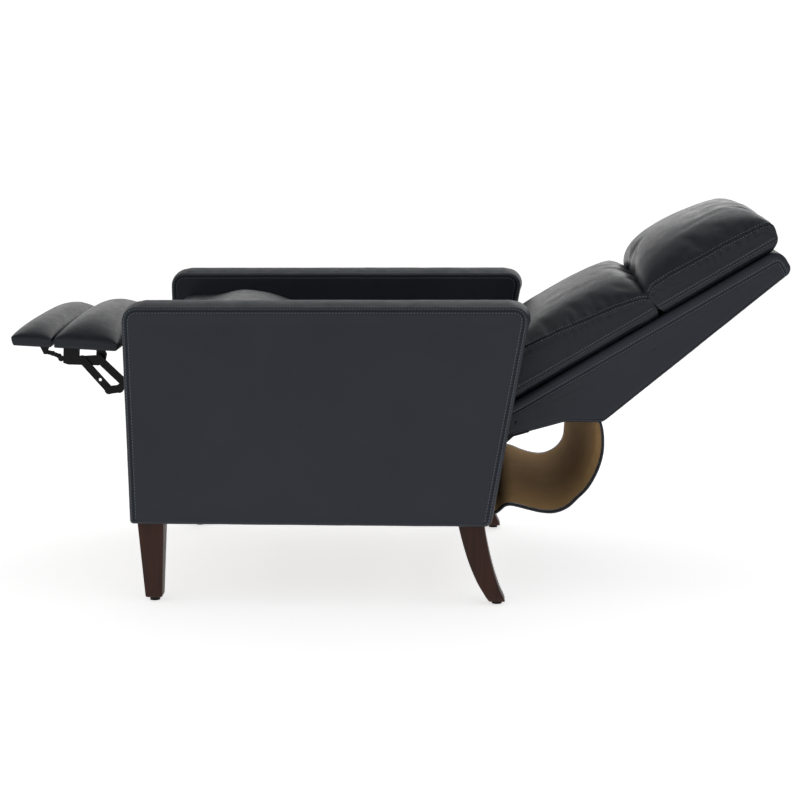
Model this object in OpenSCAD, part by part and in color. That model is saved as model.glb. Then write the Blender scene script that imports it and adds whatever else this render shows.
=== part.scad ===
// Push-back recliner armchair, shown fully reclined with the footrest out.
// +Z up, the chair faces -Y, +X is the sitter's left. Origin on the floor
// under the middle of the reclined chair's length.

/* [Arms and base] */
// Overall width over both arms
overall_w = 762; // [640:1:900]
// Thickness of one arm
arm_t = 115; // [80:1:160]
// Height of the arm top above the floor
arm_top = 634; // [560:1:720]
// Height of the arm bottom above the floor
arm_bottom = 180; // [120:1:240]
// Front face of the arm
arm_front = -559; // [-620:1:-500]
// Thickness of leather and padding over the arm frame
arm_skin = 14; // [6:1:24]
// Height of the steel glide under a leg
glide_h = 8; // [4:1:16]

/* [Back] */
// Half width of the back shell
back_hw = 260; // [220:1:264]
// Half width of the back cushions
cush_hw = 256; // [210:1:260]
// Slope of the back front face when reclined
back_slope = 30.9; // [20:0.1:45]
// Thickness of the back shell wall
shell_wall = 12; // [6:1:20]

/* [Seat] */
// Half width of the seat cushion
seat_hw = 250; // [200:1:252]
// Seat tilt between upright and reclined
seat_tilt = 10; // [4:0.5:14]

/* [Footrest] */
// Half width of both footrest pads
foot_hw = 258; // [200:1:260]
// Length of the main pad
main_len = 141; // [100:1:200]
// Length of the flip pad
flip_len = 89; // [50:1:140]
// Upward tilt of the open footrest
foot_tilt = 3; // [0:0.5:10]
// Width of one steel link
link_w = 17; // [10:0.5:22]

/* [Hidden] */
$fn = 48;
clr = 0.3;
x_in = overall_w/2 - arm_t;
x_out = overall_w/2;
// pivots as [y, z]
back_piv = [176, 202];
seat_piv = [80, 380];
pa = [-482.1, 498.0];
pg = [-464.6, 448.2];
pc = [-579.1, 452.5];
pe = [-553.2, 427.5];
pk = [-614.5, 437.0];
pr2 = [-671.5, 502.0];
pr3 = [-633.5, 505.0];
crease = [-730.5, 530.0];
// footrest points in pad coordinates (y to the rear, z up from the pad underside)
r1l = [30.4, -25.4];
q1l = [13.4, -26.3];
t1l = [-21, -14];
fhl = [0, -4];
// link layers, inner face and thickness
lay_flip = [224.5, 3];
lay_crank = [228.5, 3];
lay_brk = [232.5, 3];
lay_l3 = [236.5, 3];
lay_l1 = [240.5, 3];
lay_l2 = [244.5, 3];
lay_d = [248.5, 3];
lay_seat = [252.5, 4];
lay_back = [257.5, 3];
lay_base = [261.5, 4.2];

// ---------- helpers ----------
// side profile drawn as [y, z], thick along X from x0
module side(x0, t) translate([x0, 0, 0]) rotate([90, 0, 90]) linear_extrude(height = t) children();
module mirror_right() mirror([1, 0, 0]) children();
module turn(p, a) translate([0, p[0], p[1]]) rotate([a, 0, 0]) translate([0, -p[0], -p[1]]) children();
module seat_rest() turn(seat_piv, -seat_tilt) children();
module back_local() translate([0, 261.5, 424]) rotate([back_slope, 0, 0]) children();
module foot_local() translate([0, crease[0], crease[1]]) rotate([-foot_tilt, 0, 0]) children();
module pin(p, x0, x1, r) translate([x0, p[0], p[1]]) rotate([0, 90, 0]) cylinder(r = r, h = x1 - x0);
module rivet(p, x0, x1, r) {
  pin(p, x0 + 1, x1 - 1, r);
  pin(p, x0, x0 + 1, r + 2.5);
  pin(p, x1 - 1, x1, r + 2.5);
}
module bar2(a, b, w) {
  d = [b[0] - a[0], b[1] - a[1]];
  l = norm(d);
  translate(a) rotate(atan2(d[1], d[0])) translate([0, -w/2]) square([l, w]);
  translate(a) circle(d = w + 1.8);
  translate(b) circle(d = w + 1.8);
}
module hole2(p, r) translate(p) circle(r = r);

// ---------- arms ----------
function arc(c, r, a0, a1, n) = [for (i = [0:n]) let(a = a0 + (a1 - a0)*i/n)
  c + r*[cos(a), sin(a)]];
module arm_outline(o) {
  y0 = arm_front + o; z1 = arm_top - o; z0 = arm_bottom + o;
  r = 30 - o/2;
  polygon(concat([[195 - o, z0], [y0 + 7, z0]], arc([y0 + r, z1 - r], r, 180, 90, 9),
    arc([280.5 - o - r, z1 - r], r, 90, -10, 10), [[209 - o, z0 + 16]]));
}
module arm_bolts(r) for (y = [-509.5, 165]) translate([0.5*(x_in + x_out) + 12, y, 120])
  cylinder(r = r, h = 120);
module arm_cover() difference() {
  side(x_in, arm_t) arm_outline(0);
  side(x_in + arm_skin, arm_t - 2*arm_skin) arm_outline(arm_skin);
  arm_bolts(4.3);
}
module arm_frame() difference() {
  side(x_in + arm_skin + clr, arm_t - 2*arm_skin - 2*clr) arm_outline(arm_skin + clr);
  arm_bolts(4.3);
}
module arm_cover_left() color([0.18, 0.2, 0.23]) arm_cover();
module arm_cover_right() color([0.18, 0.2, 0.23]) mirror_right() arm_cover();
module arm_frame_left() color([0.75, 0.6, 0.42]) arm_frame();
module arm_frame_right() color([0.75, 0.6, 0.42]) mirror_right() arm_frame();

// ---------- legs ----------
leg_top = arm_bottom - clr;
module leg_front() difference() {
  hull() {
    translate([x_out - 76, -539.5, leg_top - 1]) cube([56, 56, 1]);
    translate([x_out - 66, -527.5, glide_h + clr]) cube([36, 36, 1]);
  }
  arm_bolts(4.1);
}
module leg_rear() difference() {
  side(x_out - 72, 48) polygon([[135.5, leg_top], [143, 148], [153, 112], [164, 80],
    [178, 48], [201.5, glide_h + clr], [237.5, glide_h + clr], [226, 32], [214.5, 66],
    [204.5, 104], [196, 145], [190.5, leg_top]]);
  arm_bolts(4.1);
}
module leg_front_left() color([0.24, 0.16, 0.13]) leg_front();
module leg_front_right() color([0.24, 0.16, 0.13]) mirror_right() leg_front();
module leg_rear_left() color([0.24, 0.16, 0.13]) leg_rear();
module leg_rear_right() color([0.24, 0.16, 0.13]) mirror_right() leg_rear();
module leg_glides() color([0.5, 0.5, 0.5]) for (s = [-1, 1]) {
  translate([s*(x_out - 48), -509.5, 0]) cylinder(r = 11, h = glide_h);
  translate([s*(x_out - 48), 219.5, 0]) cylinder(r = 11, h = glide_h);
}
module leg_bolts() color([0.7, 0.7, 0.72]) for (s = [0, 1]) mirror([s, 0, 0])
  translate([0.5*(x_in + x_out) + 12, 0, 0]) for (y = [-509.5, 165])
    translate([0, y, 124]) cylinder(r = 3.8, h = 112);

// ---------- base ----------
module rail_front() color([0.75, 0.6, 0.42])
  translate([-(x_in - clr), -385, 186]) cube([2*(x_in - clr), 28, 52]);
module rail_rear() color([0.75, 0.6, 0.42])
  translate([-(x_in - clr), 92, 186]) cube([2*(x_in - clr), 28, 46]);
module rear_board() color([0.12, 0.12, 0.13]) {
  translate([-255, 212, 228]) cube([510, 12, 62]);
  translate([-255, 200, 181]) cube([510, 12, 75]);
}
module base_tube() color([0.1, 0.1, 0.1]) translate([0, -120, 212]) difference() {
  rotate([0, 90, 0]) cylinder(r = 12, h = 2*(lay_base[0] - clr), center = true);
  rotate([0, 90, 0]) cylinder(r = 10, h = 600, center = true);
}
module base_plate() difference() {
  side(lay_base[0], lay_base[1]) union() {
    polygon([[-356, 188], [-356, 226], [-20, 226], [64, 372], [96, 372], [128, 236],
      [160, 226], [210, 226], [210, 188]]);
    translate(seat_piv) circle(r = 16.5);
    translate(back_piv) circle(r = 24);
  }
  pin(seat_piv, 255, 270, 6.05);
  pin(back_piv, 255, 270, 7.05);
  // clearance where the wooden rails butt against the arm
  translate([250, -386, 180]) cube([20, 30, 60]);
  translate([250, 91, 180]) cube([20, 30, 53]);
}
module base_plate_left() color([0.1, 0.1, 0.1]) base_plate();
module base_plate_right() color([0.1, 0.1, 0.1]) mirror_right() base_plate();
module pivot_pins() color([0.55, 0.55, 0.57]) for (s = [0, 1]) mirror([s, 0, 0]) {
  pin(seat_piv, lay_seat[0] - 1, lay_base[0] + lay_base[1] - clr, 6);
  pin(seat_piv, lay_seat[0] - 4, lay_seat[0] - 1, 10);
  pin(back_piv, lay_back[0] - 1, lay_base[0] + lay_base[1] - clr, 7);
  pin(back_piv, lay_back[0] - 5, lay_back[0] - 1, 12);
}

// ---------- seat, drawn level (upright) and tipped back ----------
module seat_plate() difference() {
  side(lay_seat[0], lay_seat[1]) union() {
    translate(seat_piv) circle(r = 14);
    turn2(seat_piv, -seat_tilt) polygon([[-470, 352], [-500, 384], [-500, 405], [-460, 410],
      [72, 380], [92, 372], [60, 352], [-300, 352], [-380, 330], [-440, 330]]);
    translate(pa) circle(r = 13);
    translate(pg) circle(r = 13);
  }
  pin(seat_piv, 240, 260, 6.06);
  pin(pa, 240, 260, 5.05);
  pin(pg, 240, 260, 4.05);
}
module turn2(p, a) translate(p) rotate(a) translate([-p[0], -p[1]]) children();
module seat_plate_left() color([0.1, 0.1, 0.1]) seat_plate();
module seat_plate_right() color([0.1, 0.1, 0.1]) mirror_right() seat_plate();
module srail(x, w, pts) color([0.75, 0.6, 0.42]) seat_rest() side(x, w) polygon(pts);
module seat_rail_front() srail(-220, 440, [[-476, 378], [-476, 410], [-448, 408.5], [-448, 378]]);
module seat_rail_mid() srail(-(lay_seat[0] - clr), 2*(lay_seat[0] - clr),
  [[-320, 360], [-320, 393.4], [-290, 391.8], [-290, 360]]);
module seat_rail_rear() srail(-(lay_seat[0] - clr), 2*(lay_seat[0] - clr),
  [[24, 352], [24, 381], [54, 379], [54, 352]]);
module seat_rail_side() {
  srail(190, 30, [[-447.5, 376], [-447.5, 408.5], [-320.5, 401.2], [-320.5, 370]]);
  srail(190, 30, [[-289.5, 368], [-289.5, 399], [23.5, 381], [23.5, 352]]);
}
module seat_rail_left() seat_rail_side();
module seat_rail_right() mirror_right() seat_rail_side();
// sinuous springs as flattened wire waves between front and rear rails
module spring_wave() {
  n = 14; y0 = -445; y1 = 21; p = (y1 - y0)/n; w = 34;
  for (i = [0:n - 1]) {
    ya = y0 + i*p;
    s = (i % 2 == 0) ? 1 : -1;
    translate([s*(w/2 - 1.8) - 1.8, ya, 0]) cube([3.6, p, 3.6]);
    translate([-w/2, ya - 1.8, 0]) cube([w, 3.6, 3.6]);
  }
}
module seat_springs() color([0.45, 0.45, 0.47]) seat_rest()
  turn([-446, 408], -3.28) for (x = [-150, -75, 0, 75, 150])
    translate([x, 0, 402.2]) spring_wave();
module seat_deck() color([0.25, 0.25, 0.25]) seat_rest() side(-246, 492)
  polygon([[-476, 410.6], [54, 380], [54, 383], [-476, 413.6]]);
module seat_cushion() color([0.18, 0.2, 0.23]) seat_rest() side(-seat_hw, 2*seat_hw)
  polygon([[-476, 414], [-500, 418], [-535, 420], [-546, 428], [-550, 448], [-548, 478],
    [-536, 498], [-510, 509], [-460, 516], [-395, 519], [-300, 512], [-180, 498],
    [-60, 478], [-12, 462], [-4, 446], [0, 426], [30, 412], [62, 400], [68, 392],
    [66, 384.5], [54, 383.6]]);
module link_pins() color([0.55, 0.55, 0.57]) for (s = [0, 1]) mirror([s, 0, 0]) {
  pin(pg, lay_d[0] - 0.8, lay_seat[0] + lay_seat[1] - 1, 4);
  pin(pg, lay_d[0] - 0.8, lay_d[0] - 0.1, 6);
}

// ---------- back ----------
function off_pt(p, c, k) = [c[0] + (p[0] - c[0])*k, c[1] + (p[1] - c[1])*k];
module shell_outline() polygon([[235.5, 344.5], [235.5, 408.3], [774, 730.4], [786, 735],
  [798, 734], [808, 728], [815, 718], [819.5, 707], [820, 698], [815.5, 690.6], [441.5, 380],
  [430, 380], [362, 381]]);
module shell_cavity() polygon([[262, 366], [262, 410], [776, 717.5], [788, 717],
  [797, 706], [798, 695], [440, 398], [362, 396]]);
module back_shell() color([0.18, 0.2, 0.23]) difference() {
  side(-back_hw, 2*back_hw) shell_outline();
  side(-(back_hw - shell_wall), 2*(back_hw - shell_wall)) shell_cavity();
}
module back_post() color([0.75, 0.6, 0.42]) side(back_hw - shell_wall - clr - 24, 24)
  polygon([[263, 368], [263, 409], [740, 694.5], [740, 649], [440, 400], [362, 397]]);
module back_post_left() back_post();
module back_post_right() mirror_right() back_post();
module back_rail_top() color([0.75, 0.6, 0.42]) side(-(back_hw - shell_wall - clr), 2*(back_hw - shell_wall - clr))
  polygon([[741, 651], [741, 694.8], [774, 714.5], [786, 714], [794, 704], [794.5, 695]]);
module back_rail_bottom() color([0.75, 0.6, 0.42]) side(-223, 446)
  polygon([[268, 372], [268, 410], [300, 430], [320, 430], [320, 386]]);
module back_cushion_lower() color([0.18, 0.2, 0.23]) back_local() side(-cush_hw, 2*cush_hw)
  polygon([[-18, 0.6], [346, 0.6], [350, 20], [348, 62], [330, 94], [288, 110], [200, 118],
    [110, 118], [40, 108], [0, 94], [-18, 76], [-22, 30]]);
module back_cushion_head() color([0.18, 0.2, 0.23]) back_local() side(-cush_hw, 2*cush_hw)
  polygon([[362, 0.6], [618, 0.6], [632, 10], [642, 26], [643, 50], [636, 78], [612, 102],
    [560, 120], [490, 131], [426, 129], [376, 114], [353, 88], [351.5, 50], [355, 12]]);
module back_bracket() difference() {
  union() {
    side(lay_back[0], lay_back[1]) difference() {
      union() {
        translate(back_piv) circle(r = 20);
        bar2(back_piv, [180, 312], 34);
        polygon([[163, 312], [174, 336], [228, 370], [254, 366], [254, 346], [240, 333],
          [197, 302]]);
      }
      hole2(back_piv, 7.06);
    }
    // foot under the shell
    translate([lay_back[0] - 32, 246, 0]) multmatrix([[1, 0, 0, 0], [0, 1, 0, 0],
      [0, 0.2888, 1, 343], [0, 0, 0, 1]]) translate([0, -10, 0]) cube([34, 50, 4]);
  }
  side(lay_back[0] - 40, 60) polygon([[235.2, 344.1], [362, 380.7], [362, 420], [235.2, 420]]);
}
module back_bracket_left() color([0.1, 0.1, 0.1]) back_bracket();
module back_bracket_right() color([0.1, 0.1, 0.1]) mirror_right() back_bracket();

// hanging leather flap from the shell hem to the rear board
flap_path = [[436.5, 378], [441, 362], [443.5, 340], [443, 312], [437, 284], [426, 257],
  [411, 232], [391, 211], [366, 195.5], [340, 187], [314, 184], [288, 186], [262, 191],
  [247, 195.5], [237, 193.5], [228, 186], [219, 178.5], [209, 177.5]];
flap_t = 2.6;
function seg_n(a, b) = let(d = [b[0] - a[0], b[1] - a[1]], l = norm(d)) [-d[1]/l, d[0]/l];
function nrm(i) = let(n = len(flap_path),
  a = seg_n(flap_path[max(i - 1, 0)], flap_path[max(i, 1)]),
  b = seg_n(flap_path[min(i, n - 2)], flap_path[min(i + 1, n - 1)]),
  m = [a[0] + b[0], a[1] + b[1]]) m/norm(m);
module drop_flap() color([0.2, 0.18, 0.15]) side(-256, 512) polygon(concat(
  [for (i = [0:len(flap_path) - 1]) flap_path[i] + nrm(i)*flap_t/2],
  [for (i = [len(flap_path) - 1:-1:0]) flap_path[i] - nrm(i)*flap_t/2]));

// ---------- footrest linkage ----------
module link(l, pts, holes) side(l[0], l[1]) difference() {
  union() for (i = [0:len(pts) - 2]) bar2(pts[i], pts[i + 1], link_w);
  for (h = holes) hole2(h[0], h[1]);
}
module long_link() {
  link(lay_l1, [pk, [-592, 440], pc, [-540, 470], pa], [[pk, 4.06], [pc, 4.06], [[-520, 480], 3]]);
  pin(pa, lay_l1[0] - 1, lay_seat[0] + lay_seat[1] - 1, 5);
}
module long_link_left() color([0.09, 0.09, 0.09]) difference() { long_link(); pin(pa, 230, lay_l1[0] + 1, 3); }
module long_link_right() mirror_right() long_link_left();
// square-ended tube that turns both long links together
module fold_tube() color([0.09, 0.09, 0.09]) difference() {
  pin(pa, -(lay_l1[0] - 1 - clr), lay_l1[0] - 1 - clr, 9);
  pin(pa, -250, 250, 7);
}
module cross_link() {
  link(lay_l2, [pr3, pc, pe], [[pr3, 4.06]]);
  pin(pe, lay_l2[0] - 0.5, lay_l2[0] + 1, 6);
  pin(pc, lay_l1[0] - 0.5, lay_l2[0] + 1, 4);
  pin(pc, lay_l1[0] - 0.85, lay_l1[0] - 0.1, 6.5);
}
module cross_link_left() color([0.09, 0.09, 0.09]) cross_link();
module cross_link_right() color([0.09, 0.09, 0.09]) mirror_right() cross_link();
module guide_link() {
  link(lay_d, [pg, pe], [[pg, 4.06]]);
  pin(pe, lay_l2[0] + lay_l2[1] + 0.2, lay_d[0] + 1, 4);
  pin(pe, lay_d[0] + 2, lay_d[0] + lay_d[1] + 0.6, 6);
}
module guide_link_left() color([0.09, 0.09, 0.09]) guide_link();
module guide_link_right() color([0.09, 0.09, 0.09]) mirror_right() guide_link();
module knee_link() {
  link(lay_l3, [pk, pr2], [[[-633.5, 458.7], 3.4]]);
  pin(pr2, lay_l3[0] + 2, lay_l3[0] + lay_l3[1] + 0.8, 6.5);
  pin(pk, lay_l3[0], lay_l1[0] + lay_l1[1] + 0.4, 4);
  pin(pk, lay_l3[0] - 1, lay_l3[0], 6.5);
  pin(pk, lay_l1[0] + lay_l1[1] + 0.05, lay_l1[0] + lay_l1[1] + 0.4, 6.5);
}
module knee_link_left() color([0.09, 0.09, 0.09]) knee_link();
module knee_link_right() color([0.09, 0.09, 0.09]) mirror_right() knee_link();

// ---------- footrest pads ----------
function to_pad(p) = let(d = [p[0] - crease[0], p[1] - crease[1]])
  [d[0]*cos(foot_tilt) - d[1]*sin(foot_tilt), d[0]*sin(foot_tilt) + d[1]*cos(foot_tilt)];
r2l = to_pad(pr2);
r3l = to_pad(pr3);
module foot_bracket() {
  foot_local() {
    side(lay_brk[0], lay_brk[1]) difference() {
      union() {
        polygon([[19, -35], [19, -0.6], [54, -0.6], [54, -18], [90, -14], [90, -0.6],
          [108, -0.6], [113, -10], [110, -28], [96, -36], [30, -38]]);
      }
      hole2(r1l, 3.56);
    }
    translate([lay_brk[0] - 24, 19, -3.6]) cube([25, 92, 3]);
  }
  pin(pr2, lay_brk[0] - 1, lay_brk[0] + 1, 6.5);
  pin(pr2, lay_brk[0] + 2, lay_l3[0] - 0.25, 4);
  rivet(pr3, lay_brk[0] - 1, lay_l2[0] + lay_l2[1] + 1, 4);
}
module foot_bracket_left() color([0.09, 0.09, 0.09]) foot_bracket();
module foot_bracket_right() color([0.09, 0.09, 0.09]) mirror_right() foot_bracket();
module foot_board() color([0.7, 0.55, 0.38]) foot_local() side(-(foot_hw - 3), 2*(foot_hw - 3))
  polygon([[3, 0], [main_len - 3, 0], [main_len - 3, 11], [3, 11]]);
module foot_pad() color([0.18, 0.2, 0.23]) foot_local() side(-foot_hw, 2*foot_hw)
  polygon([[1.2, 11.3], [1.2, 26], [14, 40], [36, 52], [62, 57.5], [90, 56], [116, 46],
    [134, 30], [main_len, 17], [main_len, 11.3]]);
module flip_board() color([0.7, 0.55, 0.38]) foot_local() {
  side(-(foot_hw - 3), 2*(foot_hw - 3))
    polygon([[-3, 0], [-3, 11], [-flip_len + 4, 11], [-flip_len + 4, 0]]);
}
module flip_pad() color([0.18, 0.2, 0.23]) foot_local() side(-foot_hw, 2*foot_hw)
  polygon([[-1.2, 11.3], [-1.2, 26], [-12, 40], [-28, 50], [-44, 52], [-62, 45], [-78, 33],
    [-flip_len + 1, 23], [-flip_len, 16], [-flip_len + 3, 11.3]]);
// hinge leaves with drive tabs under the flip pad
module flip_hinge() color([0.09, 0.09, 0.09]) foot_local() for (s = [0, 1]) mirror([s, 0, 0]) {
  translate([150, -52, -2.4]) cube([40, 47, 2]);
  side(150, 40) difference() {
    union() { hole2(fhl, 3.4); translate([-8, -2.4]) square([6, 2]); }
    hole2(fhl, 1.5);
  }
  side(lay_flip[0] + 4, 3) difference() {
    polygon([[-34, -0.6], [-24, -19], [-18, -19], [-12, -0.6]]);
    hole2(t1l, 2.06);
  }
  translate([lay_flip[0] - 10, -34, -3]) cube([17, 22, 2.4]);
}
module flip_crank() foot_local() {
  difference() {
    side(lay_crank[0], lay_crank[1]) bar2(r1l, q1l, 11);
    pin(q1l, 220, lay_crank[0] + 0.5, 1);
  }
  rivet(r1l, lay_crank[0] - 1, lay_brk[0] + lay_brk[1] + 1, 3.5);
}
module flip_crank_left() color([0.09, 0.09, 0.09]) flip_crank();
module flip_crank_right() color([0.09, 0.09, 0.09]) mirror_right() flip_crank();
module flip_link() foot_local() {
  side(lay_flip[0], lay_flip[1]) union() { bar2(t1l, [-6, -17], 9); bar2([-6, -17], [8, -22], 9); bar2([8, -22], q1l, 9); }
  pin(q1l, lay_flip[0] + 2, lay_crank[0] - 0.2, 2.5);
  pin(t1l, lay_flip[0] + 2, lay_flip[0] + 7, 2);
}
module flip_link_left() color([0.09, 0.09, 0.09]) flip_link();
module flip_link_right() color([0.09, 0.09, 0.09]) mirror_right() flip_link();

arm_frame_left();
arm_frame_right();
arm_cover_left();
arm_cover_right();
leg_front_left();
leg_front_right();
leg_rear_left();
leg_rear_right();
leg_glides();
leg_bolts();
rail_front();
rail_rear();
rear_board();
base_tube();
base_plate_left();
base_plate_right();
pivot_pins();
seat_plate_left();
seat_plate_right();
seat_rail_front();
seat_rail_mid();
seat_rail_rear();
seat_rail_left();
seat_rail_right();
seat_springs();
seat_deck();
seat_cushion();
link_pins();
back_shell();
back_post_left();
back_post_right();
back_rail_top();
back_rail_bottom();
back_cushion_lower();
back_cushion_head();
back_bracket_left();
back_bracket_right();
drop_flap();
long_link_left();
long_link_right();
fold_tube();
cross_link_left();
cross_link_right();
guide_link_left();
guide_link_right();
knee_link_left();
knee_link_right();
foot_bracket_left();
foot_bracket_right();
foot_board();
foot_pad();
flip_board();
flip_pad();
flip_hinge();
flip_crank_left();
flip_crank_right();
flip_link_left();
flip_link_right();
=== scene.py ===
# Looks for the push-back recliner armchair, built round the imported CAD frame.
# Outlines, seams and widths are in mm and are turned into metres by MM where a mesh is made. The chair
# faces -Y, its left is +X, and Z is up. Rest is the reclined pose with the footrest out.
import math

import bmesh
import bpy
import numpy as np
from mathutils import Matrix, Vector
from mathutils.bvhtree import BVHTree
from mathutils.kdtree import KDTree


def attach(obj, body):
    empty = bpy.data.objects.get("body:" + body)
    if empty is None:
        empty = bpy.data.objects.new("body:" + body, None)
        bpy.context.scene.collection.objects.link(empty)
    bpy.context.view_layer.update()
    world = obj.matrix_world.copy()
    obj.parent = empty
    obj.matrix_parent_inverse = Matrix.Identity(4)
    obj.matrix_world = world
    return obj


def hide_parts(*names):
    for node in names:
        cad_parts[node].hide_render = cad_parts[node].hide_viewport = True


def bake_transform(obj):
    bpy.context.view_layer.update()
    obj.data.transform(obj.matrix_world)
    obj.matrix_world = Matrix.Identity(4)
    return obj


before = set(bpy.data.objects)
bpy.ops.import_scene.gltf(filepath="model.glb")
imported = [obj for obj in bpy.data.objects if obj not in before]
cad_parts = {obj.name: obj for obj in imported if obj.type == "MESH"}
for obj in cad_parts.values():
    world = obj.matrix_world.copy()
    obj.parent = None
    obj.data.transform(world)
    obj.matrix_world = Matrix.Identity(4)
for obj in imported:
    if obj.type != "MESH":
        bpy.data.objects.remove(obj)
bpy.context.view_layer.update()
SCENE = bpy.context.scene
COLL = SCENE.collection
MM = 0.001
TURN = 6.28  # one turn in radians, as the swells and puckers use it
# origin (y, z) in metres and slope of the back, the seat and the open footrest
BACK_O, BACK_A = np.array([0.2615, 0.424]), math.radians(30.9)
SEAT_P, SEAT_A = np.array([0.080, 0.380]), math.radians(-10.0)
FOOT_O, FOOT_A = np.array([-0.7305, 0.530]), math.radians(-3.0)
# half widths across X, and the arm's and the legs' distance from the middle
BACK_HALF, SEAT_HALF, FOOT_HALF, FLAP_HALF, SHELL_HALF = 254.0, 248.0, 256.5, 256.0, 260
ARM_HALF, ARM_X, LEG_X = 57.5, 323.5, 333
ARC_STEPS = 8  # steps round each corner of a padded slab's outline


# ------------------------------------------------------------------ materials
def new_mat(name, color, rough, metalness, spec):
    m = bpy.data.materials.new(name)
    m.use_nodes = True
    b = m.node_tree.nodes["Principled BSDF"]
    b.inputs["Base Color"].default_value = (*color, 1)
    b.inputs["Roughness"].default_value = rough
    b.inputs["Metallic"].default_value = metalness
    b.inputs["Specular IOR Level"].default_value = spec
    return m, m.node_tree, b


def noise(nt, coord, scale, detail=4.0, rough=0.55, distort=0.0):
    n = nt.nodes.new("ShaderNodeTexNoise")
    n.inputs["Scale"].default_value = scale
    n.inputs["Detail"].default_value = detail
    n.inputs["Roughness"].default_value = rough
    n.inputs["Distortion"].default_value = distort
    nt.links.new(coord, n.inputs["Vector"])
    return n


def ramp(nt, fac, stops):
    r = nt.nodes.new("ShaderNodeValToRGB")
    els = r.color_ramp.elements
    while len(els) < len(stops):
        els.new(0.5)
    for e, (p, c) in zip(els, stops):
        e.position = p
        e.color = (*c, 1) if len(c) == 3 else c
    nt.links.new(fac, r.inputs["Fac"])
    return r


def rescale(nt, fac, lo, hi, a=0.3, b=0.7):
    n = nt.nodes.new("ShaderNodeMapRange")
    n.inputs["From Min"].default_value = a
    n.inputs["From Max"].default_value = b
    n.inputs["To Min"].default_value = lo
    n.inputs["To Max"].default_value = hi
    nt.links.new(fac, n.inputs["Value"])
    return n.outputs["Result"]


def bump(nt, height, dist, strength, prev=None):
    n = nt.nodes.new("ShaderNodeBump")
    n.inputs["Distance"].default_value = dist
    n.inputs["Strength"].default_value = strength
    nt.links.new(height, n.inputs["Height"])
    if prev is not None:
        nt.links.new(prev, n.inputs["Normal"])
    return n.outputs["Normal"]


def leather(name, dark, light, r0, r1, spec, grain=1.0):
    """Colour drifts with two noises; pebbled grain, fine pores and soft unevenness are bumps."""
    m, nt, b = new_mat(name, dark, 0.45, 0, spec)
    co = nt.nodes.new("ShaderNodeTexCoord").outputs["Object"]
    big = noise(nt, co, 5.0, 3.0)
    mid = noise(nt, co, 38.0, 5.0, 0.6)
    mixf = nt.nodes.new("ShaderNodeMix")
    mixf.data_type = "FLOAT"
    mixf.inputs["Factor"].default_value = 0.4
    nt.links.new(big.outputs["Fac"], mixf.inputs[2])
    nt.links.new(mid.outputs["Fac"], mixf.inputs[3])
    col = ramp(nt, mixf.outputs[0], [(0.33, dark), (0.67, light)])
    nt.links.new(col.outputs["Color"], b.inputs["Base Color"])
    nt.links.new(rescale(nt, mid.outputs["Fac"], r0, r1), b.inputs["Roughness"])
    vor = nt.nodes.new("ShaderNodeTexVoronoi")
    vor.feature = "DISTANCE_TO_EDGE"
    vor.inputs["Scale"].default_value = 620.0
    vor.inputs["Randomness"].default_value = 0.9
    nt.links.new(co, vor.inputs["Vector"])
    pebble = rescale(nt, vor.outputs["Distance"], 0.0, 1.0, 0.0, 0.22)
    n1 = bump(nt, pebble, 0.00022 * grain, 0.35)
    fine = noise(nt, co, 900.0, 2.0)
    n2 = bump(nt, fine.outputs["Fac"], 0.00012 * grain, 0.3, n1)
    soft = noise(nt, co, 55.0, 4.0, 0.6)
    n3 = bump(nt, soft.outputs["Fac"], 0.0009 * grain, 0.22, n2)
    nt.links.new(n3, b.inputs["Normal"])
    return m


M_LEATHER = leather("leather_charcoal", (0.0085, 0.0104, 0.0156), (0.0115, 0.0143, 0.0208), 0.3, 0.4, 0.3)
M_PANEL = leather("leather_panel", (0.0155, 0.0190, 0.0268), (0.0205, 0.0250, 0.0350), 0.44, 0.56, 0.3, 0.8)
# Lining colour: its own tan, made lighter than real suede. The extra lightness is painted light that makes up
# for the shade inside the flap.
M_LINING = leather("suede_lining", (0.55, 0.335, 0.145), (0.72, 0.455, 0.21), 0.8, 0.95, 0.15, 1.6)


def thread_mat():
    m, nt, b = new_mat("thread", (0.022, 0.026, 0.034), 0.55, 0, 0.4)
    co = nt.nodes.new("ShaderNodeTexCoord").outputs["Object"]
    n = noise(nt, co, 900.0, 2.0)
    # Thread colour: partly the thread's own grey, and partly painted highlight. It is lighter so the stitches
    # read as light catching them along the edges.
    c = ramp(nt, n.outputs["Fac"], [(0.3, (0.085, 0.1, 0.12)), (0.7, (0.15, 0.172, 0.2))])
    nt.links.new(c.outputs["Color"], b.inputs["Base Color"])
    return m


M_THREAD = thread_mat()


def wood(name, dark, light, axis, rough, coat):
    m, nt, b = new_mat(name, dark, rough, 0, 0.2)
    b.inputs["Coat Weight"].default_value = coat
    b.inputs["Coat Roughness"].default_value = 0.22
    co = nt.nodes.new("ShaderNodeTexCoord").outputs["Object"]
    mp = nt.nodes.new("ShaderNodeMapping")
    mp.inputs["Scale"].default_value = (30, 30, 3.0) if axis == "Z" else (3.0, 30, 30)
    nt.links.new(co, mp.inputs["Vector"])
    wv = noise(nt, mp.outputs["Vector"], 2.2, 8.0, 0.62, 0.8)
    middle = tuple((a + d) / 2 for a, d in zip(dark, light))
    c = ramp(nt, wv.outputs["Fac"], [(0.3, dark), (0.52, middle), (0.72, light)])
    nt.links.new(c.outputs["Color"], b.inputs["Base Color"])
    nt.links.new(rescale(nt, wv.outputs["Fac"], rough - 0.06, rough + 0.1), b.inputs["Roughness"])
    nt.links.new(bump(nt, wv.outputs["Fac"], 0.0004, 0.3), b.inputs["Normal"])
    return m


M_WALNUT = wood("walnut", (0.021, 0.0066, 0.0036), (0.052, 0.0165, 0.009), "Z", 0.45, 0.05)
M_PLY = wood("raw_wood", (0.36, 0.25, 0.14), (0.55, 0.41, 0.26), "X", 0.6, 0.0)


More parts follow.
